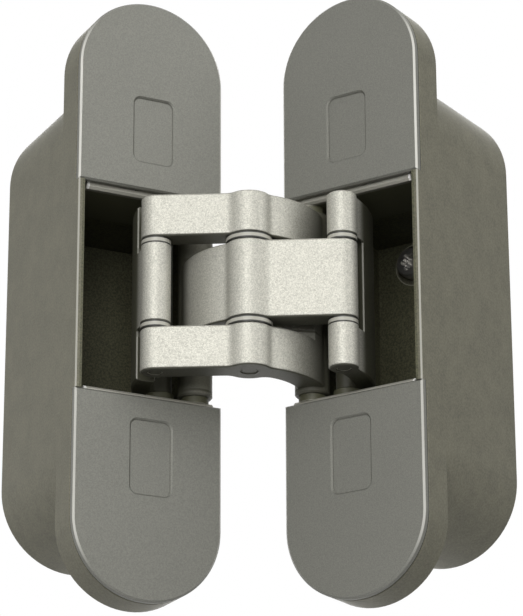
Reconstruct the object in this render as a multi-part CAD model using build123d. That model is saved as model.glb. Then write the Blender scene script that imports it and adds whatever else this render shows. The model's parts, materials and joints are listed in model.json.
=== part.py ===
from build123d import *
import math
import os

# Concealed door hinge, drawn opened to 120 degrees. Millimetres, +Z up along the pins.
# The origin is the middle of the jamb flange's shoulder, the plane that rests on the wood, and
# the jamb housing's face looks along -Y.
#
# Each side is drawn in its own side frame: x across the face from the inner edge, y into the
# leaf from the face, z up. The jamb side is that drawing mirrored, the door side is it turned.

# Housings and caps
face_width = 28.0            # across the round-ended face
flange_height = 112.0        # overall height
flange_thickness = 7.7       # face to the shoulder that rests on the wood
body_height = 87.0           # the deeper part behind the flange
body_depth = 33.0            # face to the rear of the housing
cap_thickness = 1.4
cap_bevel = 0.35
seam_bevel = 0.25            # on cap and flange, together the fine groove between them
outer_wall = 1.2
inner_wall = 1.6
back_wall = 2.5
window_depth = 9.0           # the inner wall is cut back this far so that the arms swing out
panel_width = 8.25           # shallow panel on each cap, over its sloping edges
panel_spans = {1: (5.1, 18.0), -1: (4.0, 17.9)}  # above the cap's straight edge, on the upper and lower cap
panel_shift = 0.5            # from the face's middle towards its inner edge
panel_corner = 1.3
panel_depth = 0.45
panel_bevel = 0.3
peg_radius = 1.5
peg_length = 4.0
peg_fit = 0.05
peg_rises = (14.6, 21.6)     # above the cap's straight edge

# Fixing holes for countersunk wood screws, two at each end of a flange
fixing_radius = 2.3
fixing_head_radius = 4.4
fixing_spread = 12.0
end_radius = face_width / 2
end_drop = end_radius - math.sqrt(end_radius**2 - (fixing_spread / 2) ** 2)
fixing_height = (flange_height + body_height) / 2 - 2 * end_drop  # mid-way along the shoulder

# Heights of the linkage, each half of a height above and below the middle
centre_half = 7.2            # the centre arm
washer_thickness = 1.1
axial_gap = 0.05
fork_bottom = centre_half + washer_thickness + 2 * axial_gap
arm_half = 16.2              # over the fork's plates
barrel_stand = 0.9           # how far an arm's barrel stands past the fork's plates
spacer_room = 2.2            # between the fork's plates and a pivot block
barrel_half = arm_half + barrel_stand
ledge_half = arm_half + spacer_room
block_show = 1.0             # how far a block stands proud of the caps' edges
pocket_half = ledge_half + block_show

# Pivot blocks behind the caps' edges
block_height = 8.0
block_inner = 0.95           # the block's end beside the face's inner edge
block_outer = 25.7           # its other end
block_rear = 14.5
block_fit = 0.15
block_bevel = 0.4
clamp_across = 17.5          # the clamp screw's place across the face
clamp_radius = 1.5
clamp_head_radius = 2.7
clamp_head_height = 3.0
clamp_reach = 9.0            # thread in the housing behind the block
clamp_travel = 2.4           # slot length beyond the screw, for adjusting
clamp_slot_fit = 0.25
clamp_seat = 3.9             # the head's seat below the block's front

# Adjusting screws in the door pocket's back wall
adjust_across = 9.4
adjust_height = 14.9
adjust_head_radius = 2.8
adjust_head_height = 2.6
adjust_radius = 1.8
adjust_ring = 3.9
adjust_ring_depth = 0.6
thread_fit = 0.02
socket_radius = 1.35
socket_lobe = 0.45
socket_depth = 1.6

# Linkage: pivot places (across, deep) in the side frame at 120 degrees
rest_opening = 120.0
arm_pivot = (3.25, 4.1)
link_pivot = (9.3, 8.0)      # middle of the guide hole for the rear link pin
knuckle_place = (0.3, -11.6)
link_front = (14.55, -3.55)
link_rear_drift = (-0.73, -0.28)  # where the rear link pin stands in its guide hole

# Arms
knuckle_radius = 4.1
tip_radius = 2.65
barrel_radius = 3.1
arm_thickness = 5.0
tail_thickness = 4.8
fork_tail_bow = 2.8
centre_tail_bow = 2.9
arm_blend = 2.2
root_swing = 15.0            # how far the centre arm swings towards the fork's root
root_gap = 0.45              # kept between them
arm_bevel = 0.3

# Links
link_thickness = 3.6
link_bow = 1.0
link_heel = (2.65, 1.4)      # from the rear link pin to the end of the web
link_rear_radius = 2.25
link_blend = 1.5
link_relief = 4.6            # radius cleared around the arm's tip
relief_bevel = 0.3

# Pins and rings
knuckle_pin_radius = 1.6
front_pin_radius = 1.4
arm_pin_radius = 1.6
link_pin_radius = 1.5
fixed_fit = 0.01
running_fit = 0.03
guide_play = 1.2             # radial play of the rear link pin in its guide hole
pin_recess = 0.15
pin_bevel = 0.3
arm_pin_seat = 5.0           # depth of an arm pin in a block
pin_end_gap = 0.2
link_pin_seat = 3.2
arm_spacer_radius = 2.45
link_ring_radius = 2.7

half_turn = math.radians(90 - rest_opening / 2)
door_turn = rest_opening - 180


def reflected(point):
    """A plan point mirrored in the line that halves the opening, through the knuckle."""
    along = (math.sin(half_turn), -math.cos(half_turn))
    reach = [p - k for p, k in zip(point, knuckle_place)]
    share = 2 * sum(r * a for r, a in zip(reach, along))
    return tuple(k + share * a - r for k, a, r in zip(knuckle_place, along, reach))


arm_tip = reflected(link_front)
link_rear = tuple(p + d for p, d in zip(link_pivot, link_rear_drift))


def turned(point, degrees):
    """A plan point turned about the origin."""
    angle = math.radians(degrees)
    across, deep = point
    return (
        across * math.cos(angle) - deep * math.sin(angle),
        across * math.sin(angle) + deep * math.cos(angle),
    )


def jamb_side(shape):
    """Carry a side-frame shape to the jamb, mirrored."""
    return Pos(face_width / 2, -flange_thickness, 0) * mirror(shape, about=Plane.YZ)


jamb_knuckle = (face_width / 2 - knuckle_place[0], knuckle_place[1] - flange_thickness)
door_origin = tuple(k - t for k, t in zip(jamb_knuckle, turned(knuckle_place, door_turn)))


def door_side(shape):
    """Carry a side-frame shape to the door leaf, turned about the knuckle."""
    return Location((*door_origin, 0), (0, 0, door_turn)) * shape


def slab(outline, near, far):
    """A face outline (x from the face's middle, y up) as a slab between two depths."""
    plane = Plane(origin=(face_width / 2, near, 0), x_dir=(1, 0, 0), z_dir=(0, -1, 0))
    return extrude(plane * outline, amount=near - far)


def block_of(across, depth, height):
    """A box from three (low, high) pairs."""
    low = (across[0], depth[0], height[0])
    size = (across[1] - across[0], depth[1] - depth[0], height[1] - height[0])
    return Pos(*low) * Box(*size, align=(Align.MIN, Align.MIN, Align.MIN))


def bored_rod(across, height, radius, near, far):
    """A round rod along the depth, for screws and the holes that take them."""
    return slab(Pos(across - face_width / 2, height) * Circle(radius), near, far)


def upright(place, radius, low, high):
    """A round pin along Z at a plan point."""
    return Pos(*place, low) * Cylinder(radius, high - low, align=(Align.CENTER, Align.CENTER, Align.MIN))


def ring(place, outer, inner, low, high):
    """A flat ring along Z at a plan point."""
    return upright(place, outer, low, high) - upright(place, inner, low, high)


def pin(place, radius, half):
    """A pin with bevelled ends, as high above the middle as below it."""
    body = upright(place, radius, -half, half)
    ends = body.faces().sort_by(Axis.Z)
    return chamfer(ends[0].edges() + ends[-1].edges(), pin_bevel)


def round_ended(height):
    """The face's outline: straight sides with a half circle at each end."""
    return SlotOverall(height, face_width, rotation=90)


def fixing_hole(across, height):
    """A through hole with its countersink in the flange's front."""
    sink = fixing_head_radius - fixing_radius
    cone = Pos(across, cap_thickness + sink / 2, height) * Rot(-90, 0, 0)
    hole = bored_rod(across, height, fixing_radius, cap_thickness - 1, flange_thickness + 1)
    return hole + cone * Cone(fixing_head_radius, fixing_radius, sink)


def block_room(end):
    """The space in the housing for one pivot block; end is 1 at the top, -1 below."""
    across = (block_inner - block_fit, block_outer + block_fit)
    height = sorted((end * (ledge_half - 1), end * (ledge_half + block_height + block_fit)))
    return block_of(across, (-1, block_rear), height)


def housing():
    """One casting: flange, deeper body, pocket, block rooms and fixing holes."""
    flange = slab(round_ended(flange_height), cap_thickness, flange_thickness)
    flange = chamfer(flange.faces().sort_by(Axis.Y)[0].edges(), seam_bevel)
    rim = slab(
        Pos(face_width / 2 - outer_wall / 2, 0) * Rectangle(outer_wall, 2 * pocket_half), 0, flange_thickness
    )
    outer_edge = rim.edges().filter_by(Axis.Z).sort_by(Axis.Y)[:2].sort_by(Axis.X)[-1]
    rim = chamfer(outer_edge, cap_bevel)
    solid = flange + slab(round_ended(body_height), flange_thickness, body_depth) + rim
    solid -= block_of(
        (inner_wall, face_width - outer_wall), (-1, body_depth - back_wall), (-pocket_half, pocket_half)
    )
    solid -= block_of((-1, inner_wall + 1), (-1, window_depth), (-pocket_half, pocket_half))
    for end in (1, -1):
        solid -= block_room(end)
        clamp_height = end * (ledge_half + block_height / 2)
        solid -= bored_rod(
            clamp_across, clamp_height, clamp_radius + thread_fit, block_rear - 1, block_rear + clamp_reach + 1
        )
        for rise in peg_rises:
            height = end * (pocket_half + rise)
            peg_end = cap_thickness + peg_length + pin_end_gap
            solid -= bored_rod(face_width / 2, height, peg_radius + peg_fit, 0, peg_end)
        for side in (1, -1):
            across = face_width / 2 + side * fixing_spread / 2
            solid -= fixing_hole(across, end * fixing_height / 2)
    return solid


def door_housing():
    """The door side's casting, with seats for the adjusting screws in its back wall."""
    solid = housing()
    wall = body_depth - back_wall
    for end in (1, -1):
        height = end * adjust_height
        solid -= bored_rod(adjust_across, height, adjust_ring, wall - 1, wall + adjust_ring_depth)
        solid -= bored_rod(adjust_across, height, adjust_radius + thread_fit, wall - 1, body_depth + 1)
    return solid


def cap(end):
    """One cover cap with its panel and the pegs that snap into the flange."""
    reach = flange_height / 2 + 1
    half = block_of((-1, face_width + 1), (-1, cap_thickness + 1), sorted((end * pocket_half, end * reach)))
    plate = slab(round_ended(flange_height), 0, cap_thickness) & half
    plate = chamfer(plate.faces().sort_by(Axis.Y)[0].edges(), cap_bevel)
    plate = chamfer(plate.faces().sort_by(Axis.Y)[-1].edges(), seam_bevel)
    near, far = panel_spans[end]
    panel = RectangleRounded(panel_width - 2 * panel_bevel, far - near - 2 * panel_bevel, panel_corner)
    middle = Pos(-panel_shift, end * (pocket_half + (near + far) / 2))
    plate -= slab(middle * panel, -1, panel_depth)
    front = plate.faces().sort_by(Axis.Y)[0]
    plate = chamfer(front.inner_wires()[0].edges(), panel_bevel)
    for rise in peg_rises:
        height = end * (pocket_half + rise)
        plate += bored_rod(face_width / 2, height, peg_radius, cap_thickness / 2, cap_thickness + peg_length)
    return plate


def pivot_block(end):
    """The block that carries the arm pin and guides the rear link pin."""
    inner = end * ledge_half
    height = sorted((inner, end * (ledge_half + block_height)))
    front = cap_thickness + block_fit
    solid = block_of((block_inner, block_outer), (front, block_rear), height)
    edge = solid.edges().filter_by(Axis.X).sort_by(Axis.Y)[:2].sort_by(lambda e: abs(e.center().Z))[0]
    solid = chamfer(edge, block_bevel)
    seats = (
        (arm_pivot, arm_pin_radius + fixed_fit, arm_pin_seat),
        (link_pivot, link_pin_radius + guide_play, link_pin_seat),
    )
    for place, radius, depth in seats:
        span = sorted((inner - end, inner + end * (depth + pin_end_gap)))
        solid -= upright(place, radius, *span)
    middle = Pos(clamp_across - face_width / 2, end * (ledge_half + block_height / 2))
    for radius, near, far in (
        (clamp_head_radius, 0, front + clamp_seat),
        (clamp_radius, 0, block_rear + 1),
    ):
        width = 2 * (radius + clamp_slot_fit)
        solid -= slab(middle * SlotOverall(width + clamp_travel, width), near, far)
    return solid


def socket_screw(across, height, head, seat, shank_radius, shank_end):
    """A socket-head screw along the depth, its head's underside at the seat."""
    head_radius, head_height = head
    front = seat - head_height
    screw = bored_rod(across, height, head_radius, front, seat)
    screw = chamfer(screw.faces().sort_by(Axis.Y)[0].edges(), pin_bevel)
    screw += bored_rod(across, height, shank_radius, seat, shank_end)
    recess = Circle(socket_radius)
    for lobe in PolarLocations(socket_radius, 6):
        recess += lobe * Circle(socket_lobe)
    place = Pos(across - face_width / 2, height)
    return screw - slab(place * recess, front - 1, front + socket_depth)


def clamp_screw(end):
    """The screw that clamps a pivot block to its housing."""
    seat = cap_thickness + block_fit + clamp_seat
    height = end * (ledge_half + block_height / 2)
    head = (clamp_head_radius, clamp_head_height)
    return socket_screw(clamp_across, height, head, seat, clamp_radius, block_rear + clamp_reach)


def adjusting_screw(end):
    """A screw through the door pocket's back wall."""
    seat = body_depth - back_wall + adjust_ring_depth
    head = (adjust_head_radius, adjust_head_height)
    return socket_screw(adjust_across, end * adjust_height, head, seat, adjust_radius, body_depth)


def blended(outline, radius):
    """Round the inward corners of a plan outline."""
    return offset(offset(outline, radius), -radius)


def bowed(start, end, bow):
    """An arc between two plan points that bows to the right of the way there."""
    (x0, y0), (x1, y1) = start, end
    length = math.dist(start, end)
    middle = (
        (x0 + x1) / 2 + bow * (y1 - y0) / length,
        (y0 + y1) / 2 - bow * (x1 - x0) / length,
    )
    return ThreePointArc(start, middle, end)


def arm_outline(tail_bow):
    """Plan of an arm: barrel, bowed tail, knuckle, straight web and round tip."""
    (x0, y0), (x1, y1) = knuckle_place, arm_tip
    length = math.dist(knuckle_place, arm_tip)
    turn = math.degrees(math.atan2(y1 - y0, x1 - x0))
    web = Pos(x0, y0) * Rot(0, 0, turn) * Pos(length / 2, tip_radius - arm_thickness / 2)
    outline = SlotArc(bowed(knuckle_place, arm_pivot, tail_bow), tail_thickness)
    outline += web * Rectangle(length, arm_thickness)
    outline += Pos(*knuckle_place) * Circle(knuckle_radius)
    outline += Pos(*arm_tip) * Circle(tip_radius)
    outline += Pos(*arm_pivot) * Circle(barrel_radius)
    return blended(outline, arm_blend)


def plate_between(outline, low, high):
    """A plan outline as a plate with bevelled upper and lower edges."""
    plate = Pos(0, 0, low) * extrude(outline, amount=high - low)
    faces = plate.faces().sort_by(Axis.Z)
    return chamfer(faces[0].edges() + faces[-1].edges(), arm_bevel)


def fork_root():
    """The web behind the centre arm that joins the fork's plates to their barrel."""
    (x0, y0), (x1, y1) = knuckle_place, link_front
    turn = math.degrees(math.atan2(y1 - y0, x1 - x0)) + root_swing
    length = 2 * math.dist(knuckle_place, link_front)
    behind = arm_thickness - tip_radius + root_gap
    swept = Pos(x0, y0) * Rot(0, 0, turn) * Pos(0, behind - length / 2) * Rectangle(2 * length, length)
    web = SlotArc(bowed(knuckle_place, arm_pivot, fork_tail_bow), tail_thickness) - swept
    web -= Pos(x0, y0) * Circle(knuckle_radius + root_gap)
    return Pos(0, 0, -fork_bottom - 1) * extrude(web, amount=2 * (fork_bottom + 1))


def arm_barrel():
    """The full-height barrel that turns on an arm pin."""
    barrel = upright(arm_pivot, barrel_radius, -barrel_half, barrel_half)
    ends = barrel.faces().sort_by(Axis.Z)
    return chamfer(ends[0].edges() + ends[-1].edges(), arm_bevel)


def fork_arm():
    """Two plates joined by a root web and the barrel that turns on the door's arm pin."""
    outline = arm_outline(fork_tail_bow)
    arm = plate_between(outline, fork_bottom, arm_half)
    arm += plate_between(outline, -arm_half, -fork_bottom)
    arm += fork_root() + arm_barrel()
    reach = barrel_half + 1
    arm -= upright(arm_pivot, arm_pin_radius + running_fit, -reach, reach)
    arm -= upright(knuckle_place, knuckle_pin_radius + fixed_fit, -reach, reach)
    return arm - upright(arm_tip, front_pin_radius + fixed_fit, -reach, reach)


def centre_arm():
    """The arm between the fork's plates, with a tall barrel on the jamb's arm pin."""
    arm = plate_between(arm_outline(centre_tail_bow), -centre_half, centre_half)
    arm += arm_barrel()
    reach = barrel_half + 1
    arm -= upright(arm_pivot, arm_pin_radius + running_fit, -reach, reach)
    arm -= upright(knuckle_place, knuckle_pin_radius + running_fit, -reach, reach)
    return arm - upright(arm_tip, front_pin_radius + running_fit, -reach, reach)


def link_outline():
    """Plan of a link: front barrel, bowed web and rear barrel."""
    heel = tuple(p + d for p, d in zip(link_rear, link_heel))
    outline = SlotArc(bowed(link_front, heel, link_bow), link_thickness)
    outline += Pos(*link_front) * Circle(tip_radius)
    outline += Pos(*link_rear) * Circle(link_rear_radius)
    return blended(outline, link_blend)


def relief_edges(link):
    """The upright edges that a relief leaves in a link's web."""
    def reach(edge):
        return math.dist((edge.center().X, edge.center().Y), link_front)

    return link.edges().filter_by(Axis.Z).filter_by(lambda edge: abs(reach(edge) - link_relief) < 0.01)


def tee_link():
    """The jamb's link: a middle barrel in front and the full height behind."""
    link = plate_between(link_outline(), -arm_half, arm_half)
    for end in (1, -1):
        span = sorted((end * centre_half, end * (arm_half + 1)))
        link -= upright(link_front, link_relief, *span)
    link = chamfer(relief_edges(link), relief_bevel)
    reach = arm_half + 1
    link -= upright(link_front, front_pin_radius + running_fit, -reach, reach)
    return link - upright(link_rear, link_pin_radius + fixed_fit, -reach, reach)


def fork_link():
    """The door's link: an upper and a lower barrel in front and the full height behind."""
    link = plate_between(link_outline(), -arm_half, arm_half)
    link -= upright(link_front, link_relief, -fork_bottom, fork_bottom)
    link = chamfer(relief_edges(link), relief_bevel)
    reach = arm_half + 1
    link -= upright(link_front, front_pin_radius + fixed_fit, -reach, reach)
    return link - upright(link_rear, link_pin_radius + fixed_fit, -reach, reach)


def thrust_washer(place, outer, inner, end):
    """A washer between the centre arm's level and a fork plate."""
    span = sorted((end * (fork_bottom - washer_thickness - axial_gap), end * (fork_bottom - axial_gap)))
    return ring(place, outer, inner, *span)


def arm_spacer(end):
    """The ring on an arm pin between a block and the barrel."""
    span = sorted((end * (barrel_half + axial_gap), end * ledge_half))
    return ring(arm_pivot, arm_spacer_radius, arm_pin_radius + fixed_fit, *span)


def link_ring(end):
    """The ring on a rear link pin between the link and a block."""
    span = sorted((end * arm_half, end * (ledge_half - axial_gap)))
    return ring(link_rear, link_ring_radius, link_pin_radius + fixed_fit, *span)


def side_pieces(side, carry):
    """The pieces that both sides have."""
    pieces = {
        f"{side}_arm_pin": carry(pin(arm_pivot, arm_pin_radius, ledge_half + arm_pin_seat)),
        f"{side}_link_pin": carry(pin(link_rear, link_pin_radius, ledge_half + link_pin_seat)),
    }
    for level, end in (("upper", 1), ("lower", -1)):
        pieces[f"{side}_{level}_cap"] = carry(cap(end))
        pieces[f"{side}_{level}_pivot_block"] = carry(pivot_block(end))
        pieces[f"{side}_{level}_clamp_screw"] = carry(clamp_screw(end))
        pieces[f"{side}_{level}_arm_spacer"] = carry(arm_spacer(end))
        pieces[f"{side}_{level}_link_ring"] = carry(link_ring(end))
    return pieces


def hinge():
    """Every piece of the hinge by name, in place."""
    pieces = {
        "jamb_housing": jamb_side(housing()),
        "door_housing": door_side(door_housing()),
        "fork_arm": door_side(fork_arm()),
        "centre_arm": jamb_side(centre_arm()),
        "tee_link": jamb_side(tee_link()),
        "fork_link": door_side(fork_link()),
        "centre_pin": door_side(pin(knuckle_place, knuckle_pin_radius, arm_half - pin_recess)),
        "tee_link_front_pin": jamb_side(pin(link_front, front_pin_radius, arm_half - pin_recess)),
        "fork_link_front_pin": door_side(pin(link_front, front_pin_radius, arm_half - pin_recess)),
    }
    pieces.update(side_pieces("jamb", jamb_side))
    pieces.update(side_pieces("door", door_side))
    for level, end in (("upper", 1), ("lower", -1)):
        pieces[f"door_{level}_adjusting_screw"] = door_side(adjusting_screw(end))
        pieces[f"centre_{level}_washer"] = door_side(
            thrust_washer(knuckle_place, knuckle_radius, knuckle_pin_radius + fixed_fit, end)
        )
        pieces[f"tee_link_{level}_washer"] = jamb_side(
            thrust_washer(link_front, tip_radius, front_pin_radius + fixed_fit, end)
        )
        pieces[f"fork_link_{level}_washer"] = door_side(
            thrust_washer(link_front, tip_radius, front_pin_radius + fixed_fit, end)
        )
    return pieces


os.makedirs("parts", exist_ok=True)
for name, piece in hinge().items():
    export_step(piece, f"parts/{name}.step")
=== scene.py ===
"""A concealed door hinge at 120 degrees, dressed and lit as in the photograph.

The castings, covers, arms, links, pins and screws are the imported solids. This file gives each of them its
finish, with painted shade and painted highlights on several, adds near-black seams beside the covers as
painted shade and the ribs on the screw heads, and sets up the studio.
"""
import json
import logging
import math
from dataclasses import dataclass, field
from enum import Enum
from typing import Any, Iterable, Mapping, Sequence

import bpy
from mathutils import Matrix, Vector


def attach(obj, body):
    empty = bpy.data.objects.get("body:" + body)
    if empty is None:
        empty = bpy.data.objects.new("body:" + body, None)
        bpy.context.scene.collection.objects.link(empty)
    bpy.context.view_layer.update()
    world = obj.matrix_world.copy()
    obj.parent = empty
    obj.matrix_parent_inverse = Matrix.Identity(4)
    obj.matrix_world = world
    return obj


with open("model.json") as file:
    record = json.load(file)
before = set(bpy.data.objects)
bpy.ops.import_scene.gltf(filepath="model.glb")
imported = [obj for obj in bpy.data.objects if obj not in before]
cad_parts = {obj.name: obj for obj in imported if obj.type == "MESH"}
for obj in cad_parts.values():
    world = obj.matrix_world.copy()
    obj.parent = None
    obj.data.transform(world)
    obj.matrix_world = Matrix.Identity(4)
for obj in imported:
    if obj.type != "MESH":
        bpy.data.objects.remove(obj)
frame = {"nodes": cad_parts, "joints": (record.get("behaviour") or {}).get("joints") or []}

LOG = logging.getLogger("hinge")
MM = 0.001
OPENING = math.radians(120)
KNUCKLE_JOINT = "centre_fold"

Number = int | float
Colour = tuple[float, float, float]


class Side(Enum):
    """The two halves of the hinge."""

    JAMB = "jamb"
    DOOR = "door"


class End(Enum):
    """The two ends of a half."""

    UPPER = "upper"
    LOWER = "lower"


class Signal:
    """A value socket of a shader, with the arithmetic that adds Math nodes."""

    def __init__(self, graph: "Graph", socket: bpy.types.NodeSocket) -> None:
        """Wrap one output socket."""
        self.graph = graph
        self.socket = socket

    def _math(self, operation: str, first: Any, second: Any = None, clamp: bool = False) -> "Signal":
        """Add one Math node on signals or numbers, with its result held between 0 and 1 on demand."""
        sockets = {0: first} if second is None else {0: first, 1: second}
        return self.graph.node("ShaderNodeMath", {"operation": operation, "use_clamp": clamp}, sockets)

    def __add__(self, other: Any) -> "Signal":
        """Give self + other."""
        return self._math("ADD", self, other)

    def __radd__(self, other: Any) -> "Signal":
        """Give other + self."""
        return self._math("ADD", other, self)

    def __sub__(self, other: Any) -> "Signal":
        """Give self - other."""
        return self._math("SUBTRACT", self, other)

    def __rsub__(self, other: Any) -> "Signal":
        """Give other - self."""
        return self._math("SUBTRACT", other, self)

    def __mul__(self, other: Any) -> "Signal":
        """Give self * other."""
        return self._math("MULTIPLY", self, other)

    def __rmul__(self, other: Any) -> "Signal":
        """Give other * self."""
        return self._math("MULTIPLY", other, self)

    def __pow__(self, other: Any) -> "Signal":
        """Give self to the power of other."""
        return self._math("POWER", self, other)

    def __abs__(self) -> "Signal":
        """Give the size of self without its sign."""
        return self._math("ABSOLUTE", self)

    def held(self) -> "Signal":
        """Give self held between 0 and 1."""
        return self._math("ADD", self, 0.0, clamp=True)

    def larger(self, other: Any) -> "Signal":
        """Give the larger of self and other."""
        return self._math("MAXIMUM", self, other)

    def step(self, low: Number, high: Number) -> "Signal":
        """Rise smoothly from 0 to 1.

        Args:
            low: The value at which the result is 0.
            high: The value at which the result is 1.

        Returns:
            The eased signal.
        """
        settings = {"interpolation_type": "SMOOTHSTEP"}
        sockets = {"Value": self, "From Min": low, "From Max": high}
        return self.graph.node("ShaderNodeMapRange", settings, sockets)

    def contrast(self, spread: Number) -> "Signal":
        """Rise smoothly from 0 to 1 within a spread either side of 0.5."""
        return self.step(0.5 - spread, 0.5 + spread)

    def near(self, reach: Number, fade: Number) -> "Signal":
        """Give 1 within a reach either side of 0, and fall smoothly to 0 over a fade beyond it."""
        return 1 - abs(self).step(reach, reach + fade)

    def slant(self, other: "Signal") -> "Signal":
        """Give the long side of a right triangle whose short sides are self and other."""
        return (self * self + other * other) ** 0.5


class Graph:
    """A node tree, with the one method that makes any node in it."""

    def __init__(self, tree: bpy.types.NodeTree) -> None:
        """Wrap one node tree."""
        self.tree = tree

    def node(
        self,
        kind: str,
        settings: Mapping[str, Any] | None = None,
        sockets: Mapping[Any, Any] | None = None,
        output: Any = 0,
    ) -> Signal:
        """Add a node of any type.

        Args:
            kind: The node's type.
            settings: The node's own settings, set first.
            sockets: Values or signals for its inputs, by name or number.
            output: The output to give back, by name or number.

        Returns:
            The signal of that output.
        """
        made = self.tree.nodes.new(kind)
        for key, value in (settings or {}).items():
            setattr(made, key, value)
        for key, value in (sockets or {}).items():
            self.feed(made.inputs[key], value)
        return Signal(self, made.outputs[output])

    def feed(self, socket: bpy.types.NodeSocket, value: Any) -> None:
        """Set a socket or link to it.

        Args:
            socket: The input socket.
            value: A signal, a number, a vector or a colour.
        """
        if isinstance(value, Signal):
            self.tree.links.new(value.socket, socket)
        elif socket.type == "RGBA" and len(value) == 3:
            socket.default_value = (*value, 1.0)
        else:
            socket.default_value = value

    def seen(self) -> Signal:
        """Give 1 for what the eye, a reflection or a see-through body looks at, and 0 for lighting."""
        kinds = ("Is Camera Ray", "Is Glossy Ray", "Is Transmission Ray")
        camera, glossy, through = (self.node("ShaderNodeLightPath", output=kind) for kind in kinds)
        return camera.larger(glossy).larger(through)


class Shader(Graph):
    """One procedural material, written as expressions on signals."""

    # The numbers of the sockets that a Mix node uses for colours
    MIX_FACTOR, MIX_FIRST, MIX_SECOND, MIX_RESULT = 0, 6, 7, 2

    def __init__(self, name: str) -> None:
        """Start a material with a plain surface."""
        self.material = bpy.data.materials.new(name)
        self.material.use_nodes = True
        super().__init__(self.material.node_tree)
        self.surface = self.tree.nodes["Principled BSDF"]

    def place(self, shift: Sequence[float] = (0, 0, 0), turn: float = 0.0) -> Signal:
        """Give the Object coordinates as seen from a shifted and turned frame.

        Args:
            shift: The frame's origin, in metres.
            turn: The frame's turn about the upright axis, in radians.

        Returns:
            The coordinates in that frame.
        """
        here = self.node("ShaderNodeTexCoord", output="Object")
        if not any(shift) and not turn:
            return here
        sockets = {"Vector": here, "Location": tuple(shift), "Rotation": (0.0, 0.0, turn)}
        return self.node("ShaderNodeMapping", {"vector_type": "TEXTURE"}, sockets)

    def axes(self, vector: Signal) -> tuple[Signal, Signal, Signal]:
        """Split a vector into its three values."""
        split = self.node("ShaderNodeSeparateXYZ", sockets={0: vector}).socket.node
        return tuple(Signal(self, split.outputs[number]) for number in range(3))

    def noise(self, vector: Signal, grain: float, detail: float = 2.0, rough: float = 0.5) -> Signal:
        """Give soft noise round 0.5, with features of a grain in metres and finer layers over them."""
        sockets = {"Vector": vector, "Scale": 1.0 / grain, "Detail": detail, "Roughness": rough}
        return self.node("ShaderNodeTexNoise", None, sockets)

    def flakes(self, vector: Signal, grain: float) -> Signal:
        """Give one random value from 0 to 1 for each small cell of a grain in metres."""
        cells = self.node("ShaderNodeTexVoronoi", None, {"Vector": vector, "Scale": 1.0 / grain}, "Color")
        return self.node("ShaderNodeSeparateColor", None, {0: cells}, "Red")

    def blend(self, factor: Any, first: Any, second: Any) -> Signal:
        """Mix two colours, with the factor as the share of the second."""
        sockets = {self.MIX_FACTOR: factor, self.MIX_FIRST: first, self.MIX_SECOND: second}
        return self.node("ShaderNodeMix", {"data_type": "RGBA"}, sockets, self.MIX_RESULT)

    def bump(self, height: Signal, depth: float, strength: float = 1.0) -> Signal:
        """Turn a height from 0 to 1 into a normal, where 1 stands a depth in metres above 0."""
        return self.node("ShaderNodeBump", None, {"Height": height, "Distance": depth, "Strength": strength})

    def coat(self, **sockets: Any) -> bpy.types.Material:
        """Feed the surface's sockets and give the material back.

        Args:
            sockets: Values or signals by socket name, with _ for a space.

        Returns:
            The finished material.
        """
        for key, value in sockets.items():
            self.feed(self.surface.inputs[key.replace("_", " ")], value)
        return self.material


class Tree(Graph):
    """A Geometry Nodes tree with named inputs, grown once into a plain mesh."""

    def __init__(self, name: str, inputs: Mapping[str, str]) -> None:
        """Start a tree that takes and gives geometry.

        Args:
            name: The tree's name.
            inputs: Its other inputs, each with the kind of its socket.
        """
        group = bpy.data.node_groups.new(name, "GeometryNodeTree")
        super().__init__(group)
        for label, kind in {"Geometry": "Geometry", **inputs, "Material": "Material"}.items():
            group.interface.new_socket(label, in_out="INPUT", socket_type=f"NodeSocket{kind}")
        group.interface.new_socket("Geometry", in_out="OUTPUT", socket_type="NodeSocketGeometry")
        self.entry = group.nodes.new("NodeGroupInput")
        self.exit = group.nodes.new("NodeGroupOutput")

    def given(self, label: str) -> Signal:
        """Give one of the tree's inputs."""
        return Signal(self, self.entry.outputs[label])

    def close(self, shape: Signal) -> None:
        """End the tree in Realize Instances and Set Material.

        Args:
            shape: The geometry that the tree has made.
        """
        smooth = self.node("GeometryNodeSetShadeSmooth", None, {0: shape})
        whole = self.node("GeometryNodeRealizeInstances", None, {0: smooth})
        self.feed(
            self.exit.inputs["Geometry"],
            self.node("GeometryNodeSetMaterial", None, {0: whole, "Material": self.given("Material")}),
        )

    def grow(self, name: str, places: bpy.types.Mesh, values: Mapping[str, Any]) -> bpy.types.Object:
        """Run the tree on a mesh of places.

        Args:
            name: The new piece's name.
            places: The points or the path that the tree starts from.
            values: The values of its inputs, by name.

        Returns:
            An object with the grown mesh and no modifier.
        """
        piece = bpy.data.objects.new(name, places)
        bpy.context.scene.collection.objects.link(piece)
        modifier = piece.modifiers.new("grow", "NODES")
        modifier.node_group = self.tree
        for item in self.tree.interface.items_tree:
            if item.in_out == "INPUT" and item.name in values:
                modifier[item.identifier] = values[item.name]
        graph = bpy.context.evaluated_depsgraph_get()
        grown = bpy.data.meshes.new_from_object(piece.evaluated_get(graph))
        piece.modifiers.clear()
        piece.data = grown
        return piece


class SeamTree(Tree):
    """A thin round bead drawn along a path."""

    def __init__(self) -> None:
        """Build the tree."""
        super().__init__("seam_bead", {"Wire": "Float", "Sides": "Int"})
        path = self.node("GeometryNodeMeshToCurve", None, {0: self.given("Geometry")})
        wire = {"Resolution": self.given("Sides"), "Radius": self.given("Wire")}
        profile = self.node("GeometryNodeCurvePrimitiveCircle", None, wire)
        sweep = {"Curve": path, "Profile Curve": profile, "Fill Caps": True}
        self.close(self.node("GeometryNodeCurveToMesh", None, sweep))


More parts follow.
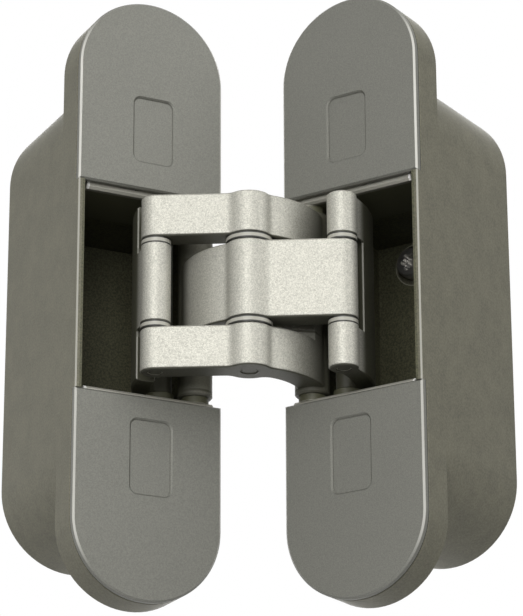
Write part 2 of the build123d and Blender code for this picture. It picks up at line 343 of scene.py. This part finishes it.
class KnurlTree(Tree):
    """A ring of fine ribs round each screw head."""

    def __init__(self) -> None:
        """Build the tree."""
        rib_sides = 8
        inputs = {"Radius": "Float", "Rib": "Float", "Length": "Float", "Count": "Int", "Turn": "Vector"}
        super().__init__("head_knurl", inputs)
        ring = {"Vertices": self.given("Count"), "Radius": self.given("Radius")}
        circle = self.node("GeometryNodeMeshCircle", None, ring)
        rod = {"Vertices": rib_sides, "Radius": self.given("Rib"), "Depth": self.given("Length")}
        rib = self.node("GeometryNodeMeshCylinder", None, rod)
        ribs = self.node("GeometryNodeInstanceOnPoints", None, {"Points": circle, "Instance": rib})
        heads = {"Points": self.given("Geometry"), "Instance": ribs, "Rotation": self.given("Turn")}
        self.close(self.node("GeometryNodeInstanceOnPoints", None, heads))


@dataclass(frozen=True)
class SparkleSilver:
    """Silver enamel with metal flake over a blasted skin, with painted shade on the arms' lower faces."""

    light: Colour = (0.59, 0.579, 0.508)
    dark: Colour = (0.38, 0.373, 0.328)
    # Painted shade colours: one for the arms' lower faces, one for the end deep in a housing.
    lower_face_shade: Colour = (0.08, 0.079, 0.06)
    deep_shade: Colour = (0.085, 0.083, 0.060)
    metallic: float = 0.38
    roughness: float = 0.50
    unevenness: float = 0.10
    flake: float = 0.17 * MM
    blast: float = 0.23 * MM
    cloud: float = 4 * MM
    relief: float = 0.012 * MM
    flake_share: float = 0.6
    blast_share: float = 0.7
    cloud_share: float = 0.2
    lift: float = 0.1
    spread: float = 0.2
    lower_faces: tuple[float, ...] = (-16.2 * MM, -7.2 * MM, 8.4 * MM)
    face_reach: float = 0.16 * MM
    face_fade: float = 0.08 * MM

    def coat(self, shader: Shader, deep: Signal | None = None, highlight_band: Signal | None = None) -> None:
        """Give a shader this finish.

        Args:
            shader: The material in the making.
            deep: Where painted shade darkens the enamel, or None for nowhere.
            highlight_band: Where a painted highlight lifts the enamel back to its dark flake tone inside the
                painted shade, or None for nowhere.
        """
        here = shader.place()
        _, _, height = shader.axes(here)
        flake = shader.flakes(here, self.flake)
        blast = shader.noise(here, self.blast, rough=0.6)
        cloud = shader.noise(here, self.cloud)
        sparkle = self.flake_share * flake + self.blast_share * (blast.contrast(self.spread) - 0.5)
        sparkle = (sparkle + self.cloud_share * cloud + self.lift).held()
        enamel = shader.blend(sparkle, self.dark, self.light)
        # Painted shade: each lower face of the arms is darkened to near black, where shade falls under the
        # arm.
        for level in self.lower_faces:
            enamel = shader.blend((height - level).near(self.face_reach, self.face_fade), enamel, self.lower_face_shade)
        metallic = self.metallic
        # Painted shade: the enamel turns dark and loses its metal where deep is 1.
        if deep is not None:
            enamel = shader.blend(deep, enamel, self.deep_shade)
            metallic = self.metallic * (1 - deep)
        # Painted highlight: the enamel is lifted back from the painted shade to its dark flake tone.
        if highlight_band is not None:
            enamel = shader.blend(highlight_band, enamel, self.dark)
        shader.coat(
            Base_Color=enamel,
            Metallic=metallic,
            Roughness=self.roughness + self.unevenness * (1 - flake),
            Normal=shader.bump(blast, self.relief, strength=0.8),
        )

    def build(self, name: str) -> bpy.types.Material:
        """Make the material of the front pins.

        Args:
            name: The material's name.

        Returns:
            The finished material.
        """
        shader = Shader(name)
        self.coat(shader)
        return shader.material


@dataclass(frozen=True)
class ArmSilver(SparkleSilver):
    """The enamel on an arm, with painted shade towards the end that turns inside a housing."""

    # Depths where the painted shade starts and where it is full.
    unmarked: float = -12 * MM
    fully_shaded: float = -4 * MM

    def build_for(self, name: str, half: "Half") -> bpy.types.Material:
        """Make the material of one arm.

        Args:
            name: The material's name.
            half: The half of the hinge that the arm turns in.

        Returns:
            The finished material.
        """
        shader = Shader(name)
        _, depth, _ = shader.axes(shader.place(half.origin, half.turn))
        self.coat(shader, deep=depth.step(self.unmarked, self.fully_shaded))
        return shader.material


@dataclass(frozen=True)
class LinkSilver(SparkleSilver):
    """The enamel on a link, with painted shade deep in the housing and a painted highlight at the edge
    cleared for an arm.
    """

    deep_shade: Colour = (0.062, 0.061, 0.040)
    # Depth where the link's painted shade starts, and its fade.
    front: float = -9 * MM
    front_fade: float = 3 * MM
    pivot_across: float = 0.55 * MM
    pivot_depth: float = -11.25 * MM
    cleared: float = 4.75 * MM
    edge_reach: float = 0.08 * MM
    edge_fade: float = 0.06 * MM
    edge_share: float = 0.6
    arm_height: float = 8.3 * MM
    ease: float = 0.05 * MM

    def build_for(self, name: str, half: "Half", middle: bool) -> bpy.types.Material:
        """Make the material of one link.

        Args:
            name: The material's name.
            half: The half of the hinge that the link runs in.
            middle: Whether it is cleared at mid-height, else above and below that.

        Returns:
            The finished material.
        """
        shader = Shader(name)
        across, depth, height = shader.axes(shader.place(half.origin, half.turn))
        aside = across - half.outward * self.pivot_across
        reach = aside.slant(depth - self.pivot_depth)
        # Painted highlight: a thin light line at the edge of the clearance for the arm.
        highlight_band = self.edge_share * (reach - self.cleared).near(self.edge_reach, self.edge_fade)
        beyond = abs(height).step(self.arm_height - self.ease, self.arm_height + self.ease)
        behind = 1 - beyond if middle else beyond
        # Painted shade: the link darkens deep in the housing and where it lies behind the arm.
        deep = depth.step(self.front, self.front + self.front_fade).larger(behind)
        self.coat(shader, deep, highlight_band * behind)
        return shader.material


@dataclass(frozen=True)
class SatinCover:
    """The satin silver of the covers: a fine even grain, with a painted highlight along the bevel of their
    outline.
    """

    light: Colour = (0.22, 0.2195, 0.191)
    dark: Colour = (0.15, 0.1495, 0.131)
    painted_highlight: Colour = (0.63, 0.622, 0.575)
    metallic: float = 0.45
    roughness: float = 0.50
    unevenness: float = 0.1
    grain: float = 0.20 * MM
    cloud: float = 14 * MM
    relief: float = 0.004 * MM
    grain_share: float = 0.75
    spread: float = 0.2
    half_width: float = 14 * MM
    straight: float = 42 * MM
    middle: float = 20 * MM
    face: float = -7.7 * MM
    bevel: float = 0.31 * MM
    bevel_depth: float = 0.26 * MM
    ease: float = 0.1 * MM
    least_highlight: float = 0.7
    arc_loss: float = 0.85
    arc_fade: tuple[float, float] = (2.8 * MM, 10.5 * MM)

    def build(self, name: str, origin: Vector, turn: float) -> bpy.types.Material:
        """Make the material for one half.

        Args:
            name: The material's name.
            origin: The middle of that half's flange.
            turn: The turn of that half's frame, in radians.

        Returns:
            The finished material.
        """
        shader = Shader(name)
        here = shader.place()
        across, depth, height = shader.axes(shader.place(origin, turn))
        grain = shader.noise(here, self.grain, rough=0.6)
        cloud = shader.noise(here, self.cloud)
        tone = (self.grain_share * grain.contrast(self.spread) + (1 - self.grain_share) * cloud).held()
        beyond = (abs(height) - self.straight).larger(0.0)
        inset = self.half_width - across.slant(beyond)
        behind = self.face + self.bevel_depth
        # Painted highlight: the bevel of the outline is lightened, more towards the top and less round the
        # round ends.
        highlight = 1 - inset.step(self.bevel, self.bevel + self.ease)
        highlight = highlight * (1 - depth.step(behind, behind + self.ease))
        for share in (cloud, height.step(-self.middle, self.middle)):
            highlight = highlight * (self.least_highlight + (1 - self.least_highlight) * share)
        highlight = highlight * (1 - self.arc_loss * beyond.step(*self.arc_fade))
        return shader.coat(
            Base_Color=shader.blend(highlight, shader.blend(tone, self.dark, self.light), self.painted_highlight),
            Metallic=self.metallic,
            Roughness=self.roughness + self.unevenness * (grain - highlight),
            Normal=shader.bump(grain, self.relief, strength=0.6),
        )


@dataclass(frozen=True)
class CastPaint:
    """Painted zinc casting, matt outside, with painted shade over an as-cast tone inside its pocket and a
    painted highlight at its front edges.
    """

    light: Colour = (0.186, 0.178, 0.127)
    dark: Colour = (0.104, 0.1, 0.071)
    inside: Colour = (0.115, 0.113, 0.062)
    hollow: Colour = (0.05, 0.049, 0.027)
    painted_highlight: Colour = (0.37, 0.363, 0.32)
    metallic: float = 0.4
    roughness: float = 0.52
    unevenness: float = 0.12
    grain: float = 0.35 * MM
    cloud: float = 4 * MM
    relief: float = 0.008 * MM
    grain_share: float = 0.6
    grain_spread: float = 0.15
    cloud_spread: float = 0.25
    half_width: float = 14 * MM
    face: float = -7.7 * MM
    edge: float = 0.3 * MM
    ease: float = 0.04 * MM
    seats: bool = False
    seat_across: float = -4.6 * MM
    seat_height: float = 14.9 * MM
    seat_radius: float = 3.9 * MM
    seat_highlight: Colour = (0.355, 0.345, 0.266)
    seat_reach: float = 0.12 * MM
    seat_fade: float = 0.08 * MM
    half_room: float = 12.9 * MM
    half_height: float = 19.5 * MM
    front: float = -5.5 * MM
    front_fade: float = 5 * MM
    back: float = 22.95 * MM
    room_fade: float = 0.4 * MM
    half_mouth: float = 13.2 * MM
    mouth_fade: float = 0.08 * MM
    mouth_depth: float = 0.1 * MM

    def room(self, across: Signal, depth: Signal, height: Signal) -> Signal:
        """Find the pocket and the inner strip of its rim, where the painted shade goes.

        Args:
            across: The place across the face, from the middle.
            depth: The place behind the flange's shoulder.
            height: The height.

        Returns:
            1 in the pocket and on that strip, and 0 outside.
        """
        room = across.near(self.half_room, self.room_fade) * height.near(self.half_height, self.room_fade)
        room = room * depth.step(self.front, self.front + self.front_fade)
        room = room * (1 - depth.step(self.back, self.back + self.room_fade))
        rim = self.face + self.mouth_depth
        # Painted shade: a thin strip of the rim's front beside the mouth is darkened like the pocket.
        strip = across.near(self.half_mouth, self.mouth_fade) * (1 - depth.step(rim, rim + self.mouth_depth))
        return room.larger(strip)

    def build(self, name: str, origin: Vector, turn: float) -> bpy.types.Material:
        """Make the material for one half.

        Args:
            name: The material's name.
            origin: The middle of that half's flange.
            turn: The turn of that half's frame, in radians.

        Returns:
            The finished material.
        """
        shader = Shader(name)
        here = shader.place()
        across, depth, height = shader.axes(shader.place(origin, turn))
        grain = shader.noise(here, self.grain, 3.0, 0.6)
        cloud = shader.noise(here, self.cloud, 4.0, 0.65).contrast(self.cloud_spread)
        coarse = grain.contrast(self.grain_spread)
        tone = (self.grain_share * coarse + (1 - self.grain_share) * cloud).held()
        paint = shader.blend(tone, self.dark, self.light)
        # Painted shade over an as-cast tone: the pocket's inside is a mottled dark olive.
        cast = shader.blend(coarse, self.hollow, self.inside)
        if self.seats:
            # Painted highlight: a light ring round each screw seat in the pocket.
            ring = (across - self.seat_across).slant(abs(height) - self.seat_height) - self.seat_radius
            cast = shader.blend(ring.near(self.seat_reach, self.seat_fade), cast, self.seat_highlight)
        room = self.room(across, depth, height)
        inner = self.half_width - self.edge
        behind = self.face + self.edge
        # Painted highlight: the casting's outer front edges are lightened.
        highlight = abs(across).step(inner - self.ease, inner + self.ease)
        highlight = highlight * (1 - depth.step(behind - self.ease, behind + self.ease))
        return shader.coat(
            Base_Color=shader.blend(highlight, shader.blend(room, paint, cast), self.painted_highlight),
            Metallic=self.metallic * (1 - room),
            Roughness=self.roughness + self.unevenness * grain,
            Normal=shader.bump(grain, self.relief, strength=0.5),
        )


@dataclass(frozen=True)
class TurnedMetal:
    """Bare steel with fine turning marks round the upright axis, for the rear pins and the screws."""

    light: Colour = (0.55, 0.54, 0.51)
    dark: Colour = (0.38, 0.37, 0.35)
    metallic: float = 0.9
    roughness: float = 0.32
    unevenness: float = 0.12
    marks: float = 0.12 * MM
    stretch: tuple[float, float, float] = (0.15, 0.15, 1.0)
    cloud: float = 3 * MM
    relief: float = 0.003 * MM

    def build(self, name: str) -> bpy.types.Material:
        """Make the material.

        Args:
            name: The material's name.

        Returns:
            The finished material.
        """
        shader = Shader(name)
        here = shader.place()
        around = shader.node("ShaderNodeMapping", None, {"Vector": here, "Scale": self.stretch})
        marks = shader.noise(around, self.marks)
        tone = (0.5 * marks + 0.5 * shader.noise(here, self.cloud)).held()
        return shader.coat(
            Base_Color=shader.blend(tone, self.dark, self.light),
            Metallic=self.metallic,
            Roughness=self.roughness + self.unevenness * (marks - 0.5),
            Normal=shader.bump(marks, self.relief, strength=0.4),
        )


@dataclass(frozen=True)
class CastBlock:
    """The cast metal of blocks, spacers and rings, with a painted glint at a block's outer front end and
    painted shade behind its front and on its underside.
    """

    light: Colour = (0.45, 0.44, 0.38)
    dark: Colour = (0.33, 0.32, 0.28)
    painted_highlight: Colour = (0.92, 0.91, 0.87)
    deep_shade: Colour = (0.085, 0.084, 0.050)
    metallic: float = 0.45
    roughness: float = 0.46
    unevenness: float = 0.12
    grain: float = 0.3 * MM
    relief: float = 0.005 * MM
    outer_end: float = 11.7 * MM
    front: float = -6.15 * MM
    highlight_band: float = 0.55 * MM
    end_ease: float = 0.165 * MM
    front_ease: float = 0.11 * MM
    shade_fade: float = 1.1 * MM
    underside: float = 18.3 * MM
    underside_fade: float = 0.1 * MM

    def build(self, name: str, origin: Vector, turn: float, outward: float) -> bpy.types.Material:
        """Make the material for one half.

        Args:
            name: The material's name.
            origin: The middle of that half's flange.
            turn: The turn of that half's frame, in radians.
            outward: 1 where that half's outer side is on the frame's right, else -1.

        Returns:
            The finished material.
        """
        shader = Shader(name)
        across, depth, height = shader.axes(shader.place(origin, turn))
        grain = shader.noise(shader.place(), self.grain, 3.0, 0.6)
        inner = self.outer_end - self.highlight_band
        behind = self.front + self.highlight_band
        # Painted highlight: a glint at the corner of the block's outer end and front.
        highlight = (outward * across).step(inner, inner + self.end_ease)
        highlight = highlight * (1 - depth.step(behind - self.front_ease, behind))
        # Painted shade: darker behind the block's front and on the underside of its lip.
        deep = depth.step(behind, behind + self.shade_fade)
        deep = deep.larger(height.near(self.underside, self.underside_fade))
        metal = shader.blend(deep, shader.blend(grain, self.dark, self.light), self.deep_shade)
        return shader.coat(
            Base_Color=shader.blend(highlight, metal, self.painted_highlight),
            Metallic=self.metallic * (1 - highlight) * (1 - deep),
            Roughness=self.roughness + self.unevenness * grain,
            Normal=shader.bump(grain, self.relief, strength=0.4),
        )


@dataclass(frozen=True)
class Acetal:
    """The pale moulded polymer of the thrust washers, dark with grease at both of their faces."""

    light: Colour = (0.56, 0.546, 0.476)
    dark: Colour = (0.45, 0.436, 0.374)
    grease: Colour = (0.02, 0.02, 0.015)
    roughness: float = 0.38
    unevenness: float = 0.1
    grain: float = 0.5 * MM
    relief: float = 0.003 * MM
    middle: float = 7.8 * MM
    unmarked: float = 0.26 * MM
    ease: float = 0.1 * MM

    def build(self, name: str) -> bpy.types.Material:
        """Make the material.

        Args:
            name: The material's name.

        Returns:
            The finished material.
        """
        shader = Shader(name)
        here = shader.place()
        _, _, height = shader.axes(here)
        grain = shader.noise(here, self.grain)
        moulded = shader.blend(grain, self.dark, self.light)
        unmarked = (abs(height) - self.middle).near(self.unmarked, self.ease)
        return shader.coat(
            Base_Color=shader.blend(unmarked, self.grease, moulded),
            Roughness=self.roughness + self.unevenness * grain,
            Normal=shader.bump(grain, self.relief, strength=0.3),
        )


@dataclass(frozen=True)
class SeamDark:
    """The near-black line in the groove between a cover and its flange, painted shade for the shadow in that
    joint.
    """

    light: Colour = (0.030, 0.030, 0.024)
    dark: Colour = (0.014, 0.014, 0.011)
    roughness: float = 0.7
    unevenness: float = 0.2
    mottle: float = 0.8 * MM
    relief: float = 0.02 * MM

    def build(self, name: str) -> bpy.types.Material:
        """Make the material.

        Args:
            name: The material's name.

        Returns:
            The finished material.
        """
        shader = Shader(name)
        # Painted shade: near black with a faint mottle.
        mottle = shader.noise(shader.place(), self.mottle, 3.0)
        return shader.coat(
            Base_Color=shader.blend(mottle, self.dark, self.light),
            Roughness=self.roughness + self.unevenness * mottle,
            Normal=shader.bump(mottle, self.relief, strength=0.4),
        )


@dataclass(frozen=True)
class PaleFloor:
    """The pale finish of the floor, which glows white far off and throws little light on the hinge."""

    light: Colour = (0.72, 0.72, 0.715)
    dark: Colour = (0.68, 0.68, 0.675)
    unlit: Colour = (0.05, 0.05, 0.05)
    near_glow: Colour = (0.42, 0.42, 0.42)
    far_glow: Colour = (1.0, 1.0, 1.0)
    no_glow: Colour = (0.0, 0.0, 0.0)
    roughness: float = 0.8
    cloud: float = 0.4
    fade: tuple[float, float] = (0.2, 1.4)

    def build(self, name: str) -> bpy.types.Material:
        """Make the material.

        Args:
            name: The material's name.

        Returns:
            The finished material.
        """
        shader = Shader(name)
        here = shader.place()
        right, back, _ = shader.axes(here)
        pale = shader.blend(shader.noise(here, self.cloud), self.dark, self.light)
        glow = shader.blend(right.slant(back).step(*self.fade), self.near_glow, self.far_glow)
        seen = shader.seen()
        return shader.coat(
            Base_Color=shader.blend(seen, self.unlit, pale),
            Roughness=self.roughness,
            Emission_Color=shader.blend(seen, self.no_glow, glow),
            Emission_Strength=1.0,
        )


def dress(node: str, material: bpy.types.Material) -> None:
    """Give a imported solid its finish.

    Args:
        node: The solid's name.
        material: Its finish.
    """
    for slot in frame["nodes"][node].material_slots:
        slot.material = material
    LOG.info("%s: %s", node, material.name)


def door_place(turn: float) -> Vector:
    """Mirror the jamb's origin in the line through the knuckle that halves the opening.

    Args:
        turn: The turn of the door's frame, in radians.

    Returns:
        The middle of the door's flange, in the row frame.
    """
    knuckle = next(joint for joint in frame["joints"] if joint["name"] == KNUCKLE_JOINT)
    between = Vector((math.cos(turn / 2), math.sin(turn / 2), 0.0))
    return 2 * between.dot(Vector(knuckle["pos_m"])) * between


@dataclass
class Half:
    """One half of the hinge: its casting, two covers, pivot blocks, screws, spacers and pins."""

    side: Side
    origin: Vector = field(default_factory=Vector)
    turn: float = 0.0
    half_width: float = 14 * MM
    cover_low: float = 19.4 * MM
    cover_straight: float = 42 * MM
    seam_depth: float = -6.3 * MM
    seam_inset: float = 0.22 * MM
    seam_wire: float = 0.16 * MM
    seam_sides: int = 8
    arc_steps: int = 48
    screw_across: float = -4.6 * MM
    screw_depth: float = 22.0 * MM
    screw_height: float = 14.9 * MM
    head_radius: float = 2.8 * MM
    rib_radius: float = 0.11 * MM
    rib_length: float = 1.4 * MM
    rib_count: int = 40

    @property
    def outward(self) -> float:
        """Give 1 where the outer side is on the frame's right, else -1."""
        return 1.0 if self.side is Side.DOOR else -1.0

    def names(self, piece: str) -> Iterable[str]:
        """Give the upper and lower node of a piece."""
        return (f"{self.side.value}_{end.value}_{piece}" for end in End)

    def spot(self, across: float, depth: float, height: float) -> Vector:
        """Carry a point of this half's frame, centred on its flange, to the row frame."""
        return self.origin + Matrix.Rotation(self.turn, 3, "Z") @ Vector((across, depth, height))

    def seam_path(self) -> bpy.types.Mesh:
        """Draw the line round both covers, from the pocket's edge over the round end and back.

        Returns:
            A mesh of two open lines.
        """
        reach = self.half_width - self.seam_inset
        outline = [(reach, self.cover_low)]
        for number in range(self.arc_steps + 1):
            angle = math.pi * number / self.arc_steps
            outline.append((reach * math.cos(angle), self.cover_straight + reach * math.sin(angle)))
        outline.append((-reach, self.cover_low))
        points = [self.spot(x, self.seam_depth, way * z) for way in (1, -1) for x, z in outline]
        count = len(outline)
        edges = [(first + step, first + step + 1) for first in (0, count) for step in range(count - 1)]
        mesh = bpy.data.meshes.new(f"{self.side.value}_seam_path")
        mesh.from_pydata(points, edges, [])
        return mesh

    def add_seams(self, tree: SeamTree, seam_shade: bpy.types.Material) -> None:
        """Lay the near-black line, a painted shade, between the covers and the flange.

        Args:
            tree: The tree that draws a bead along a path.
            seam_shade: The line's finish.
        """
        # The bead is near black, a painted shade in the covers' seams.
        values = {"Wire": self.seam_wire, "Sides": self.seam_sides, "Material": seam_shade}
        seams = tree.grow(f"{self.side.value}_cover_seams", self.seam_path(), values)
        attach(seams, self.side.value)
        LOG.info("%s: %d faces", seams.name, len(seams.data.polygons))

    def add_knurls(self, tree: KnurlTree, steel: bpy.types.Material) -> None:
        """Set the fine ribs round the adjusting screws' heads.

        Args:
            tree: The tree that sets ribs round a head.
            steel: The screws' finish.
        """
        places = bpy.data.meshes.new("screw_places")
        middles = [self.spot(self.screw_across, self.screw_depth, way * self.screw_height) for way in (1, -1)]
        places.from_pydata(middles, [], [])
        values = {
            "Radius": self.head_radius,
            "Rib": self.rib_radius,
            "Length": self.rib_length,
            "Count": self.rib_count,
            "Turn": (-math.pi / 2, 0.0, self.turn),
            "Material": steel,
        }
        knurls = tree.grow(f"{self.side.value}_screw_knurls", places, values)
        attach(knurls, self.side.value)
        LOG.info("%s: %d faces", knurls.name, len(knurls.data.polygons))

    def finish(self, steel: bpy.types.Material) -> None:
        """Dress every solid of this half.

        Args:
            steel: The finish of screws and pins.
        """
        block = CastBlock().build(f"{self.side.value}_cast_block", self.origin, self.turn, self.outward)
        seats = self.side is Side.DOOR
        paint = CastPaint(seats=seats).build(f"{self.side.value}_cast_paint", self.origin, self.turn)
        cover = SatinCover().build(f"{self.side.value}_satin_cover", self.origin, self.turn)
        dress(f"{self.side.value}_housing", paint)
        for piece, material in (
            ("cap", cover),
            ("pivot_block", block),
            ("arm_spacer", block),
            ("link_ring", block),
            ("clamp_screw", steel),
        ):
            for name in self.names(piece):
                dress(name, material)
        for piece in ("arm_pin", "link_pin"):
            dress(f"{self.side.value}_{piece}", steel)
        if self.side is Side.DOOR:
            for name in self.names("adjusting_screw"):
                dress(name, steel)


@dataclass
class Linkage:
    """The two crossed arms and the two links, with their pins and washers."""

    jamb: Half
    door: Half
    pins: tuple[str, ...] = ("centre_pin", "tee_link_front_pin", "fork_link_front_pin")
    washers: tuple[str, ...] = ("centre", "tee_link", "fork_link")
    # Depth where the fork arm's painted shade starts.
    fork_shade_start: float = -18 * MM

    def finish(self, polymer: bpy.types.Material) -> None:
        """Dress the arms, links, pins and washers.

        Args:
            polymer: The washers' finish.
        """
        silver = SparkleSilver().build("sparkle_silver")
        for name in self.pins:
            dress(name, silver)
        dress("centre_arm", ArmSilver().build_for("centre_arm_silver", self.jamb))
        dress("fork_arm", ArmSilver(unmarked=self.fork_shade_start).build_for("fork_arm_silver", self.door))
        dress("tee_link", LinkSilver().build_for("tee_link_silver", self.jamb, middle=False))
        dress("fork_link", LinkSilver().build_for("fork_link_silver", self.door, middle=True))
        for name in self.washers:
            for end in End:
                dress(f"{name}_{end.value}_washer", polymer)


@dataclass(frozen=True)
class Lamp:
    """One soft square lamp that looks at the hinge, with its angles in degrees."""

    name: str
    azimuth: float
    elevation: float
    distance: float
    size: float
    power: float

    def hang(self, aim: Vector) -> None:
        """Put the lamp in the studio.

        Args:
            aim: The point that it looks at.
        """
        turn = math.radians(self.azimuth)
        rise = math.radians(self.elevation)
        way = Vector((math.sin(turn) * math.cos(rise), -math.cos(turn) * math.cos(rise), math.sin(rise)))
        data = bpy.data.lights.new(self.name, "AREA")
        data.shape = "SQUARE"
        data.size = self.size
        data.energy = self.power
        lamp = bpy.data.objects.new(self.name, data)
        lamp.location = aim + way * self.distance
        lamp.rotation_euler = way.to_track_quat("Z", "Y").to_euler()
        bpy.context.scene.collection.objects.link(lamp)


@dataclass
class Studio:
    """The floor, the surroundings, the lamps and the camera.

    The camera's angles are in degrees, and its focal length is in pixels of an image of image_height.
    """

    aim: tuple[float, float, float] = (20.317 * MM, -10.936 * MM, -0.737 * MM)
    turn: float = 26.77
    rise: float = 20.007
    roll: float = -0.229
    distance: float = 520.742 * MM
    focal: float = 2924.07
    image_height: int = 616
    sensor: float = 36.0
    clip_start: float = 10 * MM
    floor_level: float = -260 * MM
    floor_size: float = 6.0
    fill: float = 0.05
    lamps: tuple[Lamp, ...] = (
        Lamp("lamp_front", azimuth=-36.5, elevation=9.0, distance=0.6, size=0.4, power=2.9),
        Lamp("lamp_right", azimuth=36.0, elevation=32.0, distance=0.5, size=0.3, power=0.7),
        Lamp("lamp_left", azimuth=-142.0, elevation=5.0, distance=1.2, size=0.7, power=0.8),
        Lamp("lamp_back", azimuth=150.0, elevation=20.0, distance=1.2, size=0.9, power=12.0),
    )

    def camera(self) -> None:
        """Set up the camera that took the photograph."""
        turn = math.radians(self.turn)
        rise = math.radians(self.rise)
        ahead = Vector((math.sin(turn) * math.cos(rise), math.cos(turn) * math.cos(rise), math.sin(rise)))
        right = Vector((math.cos(turn), -math.sin(turn), 0.0))
        above = right.cross(ahead)
        tilt = Matrix.Rotation(math.radians(-self.roll), 3, ahead)
        axes = Matrix((tilt @ right, tilt @ above, -ahead)).transposed()
        data = bpy.data.cameras.new("camera")
        data.sensor_fit = "VERTICAL"
        data.sensor_height = self.sensor
        data.lens = self.focal * self.sensor / self.image_height
        data.clip_start = self.clip_start
        camera = bpy.data.objects.new("camera", data)
        camera.matrix_world = Matrix.Translation(Vector(self.aim) - ahead * self.distance) @ axes.to_4x4()
        bpy.context.scene.collection.objects.link(camera)
        bpy.context.scene.camera = camera

    def floor(self) -> None:
        """Lay the pale floor below the hinge."""
        half = self.floor_size / 2
        outline = ((-half, -half), (half, -half), (half, half), (-half, half))
        mesh = bpy.data.meshes.new("floor")
        mesh.from_pydata([(*corner, self.floor_level) for corner in outline], [], [(0, 1, 2, 3)])
        mesh.materials.append(PaleFloor().build("floor_pale"))
        floor = bpy.data.objects.new("floor", mesh)
        bpy.context.scene.collection.objects.link(floor)

    def surroundings(self) -> None:
        """Make the surroundings white to the eye and in reflections, and a soft fill for the lighting."""
        world = bpy.data.worlds.new("studio")
        bpy.context.scene.world = world
        world.use_nodes = True
        graph = Graph(world.node_tree)
        ground = world.node_tree.nodes["Background"]
        graph.feed(ground.inputs["Color"], (1.0, 1.0, 1.0))
        graph.feed(ground.inputs["Strength"], self.fill + (1 - self.fill) * graph.seen())

    def light(self) -> None:
        """Hang the soft lamps."""
        for lamp in self.lamps:
            lamp.hang(Vector(self.aim))

    def build(self) -> None:
        """Set up the whole studio."""
        bpy.context.scene.view_settings.view_transform = "Standard"
        self.camera()
        self.floor()
        self.surroundings()
        self.light()


def main() -> None:
    """Build the studio and dress the hinge."""
    logging.basicConfig(level=logging.INFO, format="%(name)s %(message)s")
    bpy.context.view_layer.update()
    Studio().build()
    steel = TurnedMetal().build("ground_steel")
    polymer = Acetal().build("pale_acetal")
    seam_shade = SeamDark().build("seam_dark")
    door_turn = OPENING - math.pi
    jamb = Half(Side.JAMB)
    door = Half(Side.DOOR, door_place(door_turn), door_turn)
    seam_tree = SeamTree()
    for half in (jamb, door):
        half.finish(steel)
        half.add_seams(seam_tree, seam_shade)
    door.add_knurls(KnurlTree(), steel)
    Linkage(jamb, door).finish(polymer)


if __name__ == "__main__":
    main()
